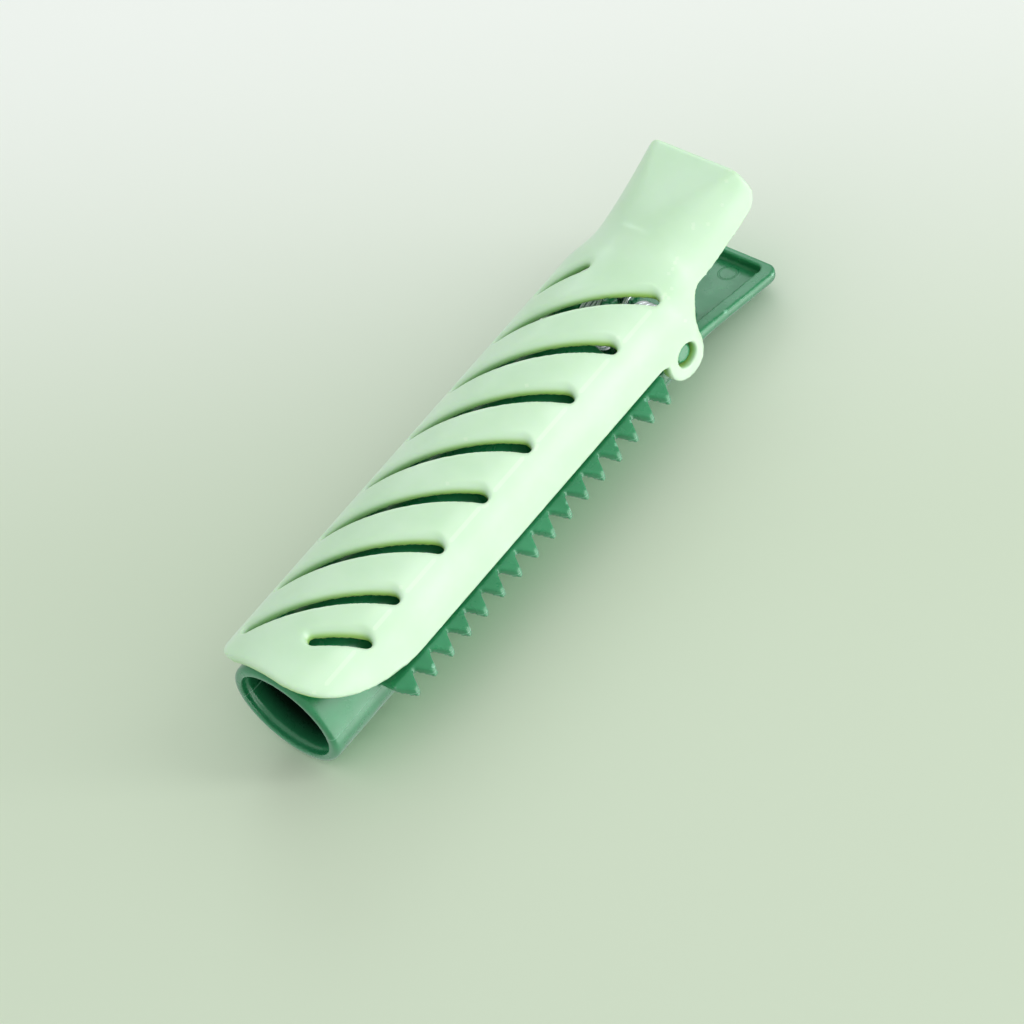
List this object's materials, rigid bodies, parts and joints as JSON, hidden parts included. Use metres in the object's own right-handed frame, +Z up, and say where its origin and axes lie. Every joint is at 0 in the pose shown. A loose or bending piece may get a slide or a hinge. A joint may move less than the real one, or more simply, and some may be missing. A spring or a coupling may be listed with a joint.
{
  "type": "sectioning clip",
  "caption": "Hair sectioning and root-lifting clip: an arched, slotted jaw hinged on a hollow barrel with comb teeth along both sides, closed by a spring.",
  "frame": {"origin": "under the middle of the clip, level with the lowest line of the barrel", "axes": "+X to the clip's right side, +Y from the barrel's open mouth back to the finger levers, +Z up through the slotted jaw"},
  "size_m": [0.032, 0.11, 0.025],
  "materials": {
    "mint_plastic": "satin, slightly translucent moulded plastic",
    "green_plastic": "satin, slightly translucent moulded plastic",
    "spring_steel": "bright drawn wire"
  },
  "bodies": {
    "lower": {"lower_jaw": "green_plastic", "torsion_spring": "spring_steel"},
    "upper": {"upper_jaw": "mint_plastic"}
  },
  "joints": [
    {"name": "jaw_hinge", "type": "hinge", "parent": "lower", "child": "upper", "pos_m": [0, 0.0295, 0.0105], "axis": [-1, 0, 0], "range_deg": [0, 24], "stiffness_Nm_per_rad": 0.12, "springref_deg": -34.38, "deforming": ["torsion_spring"]}
  ]
}
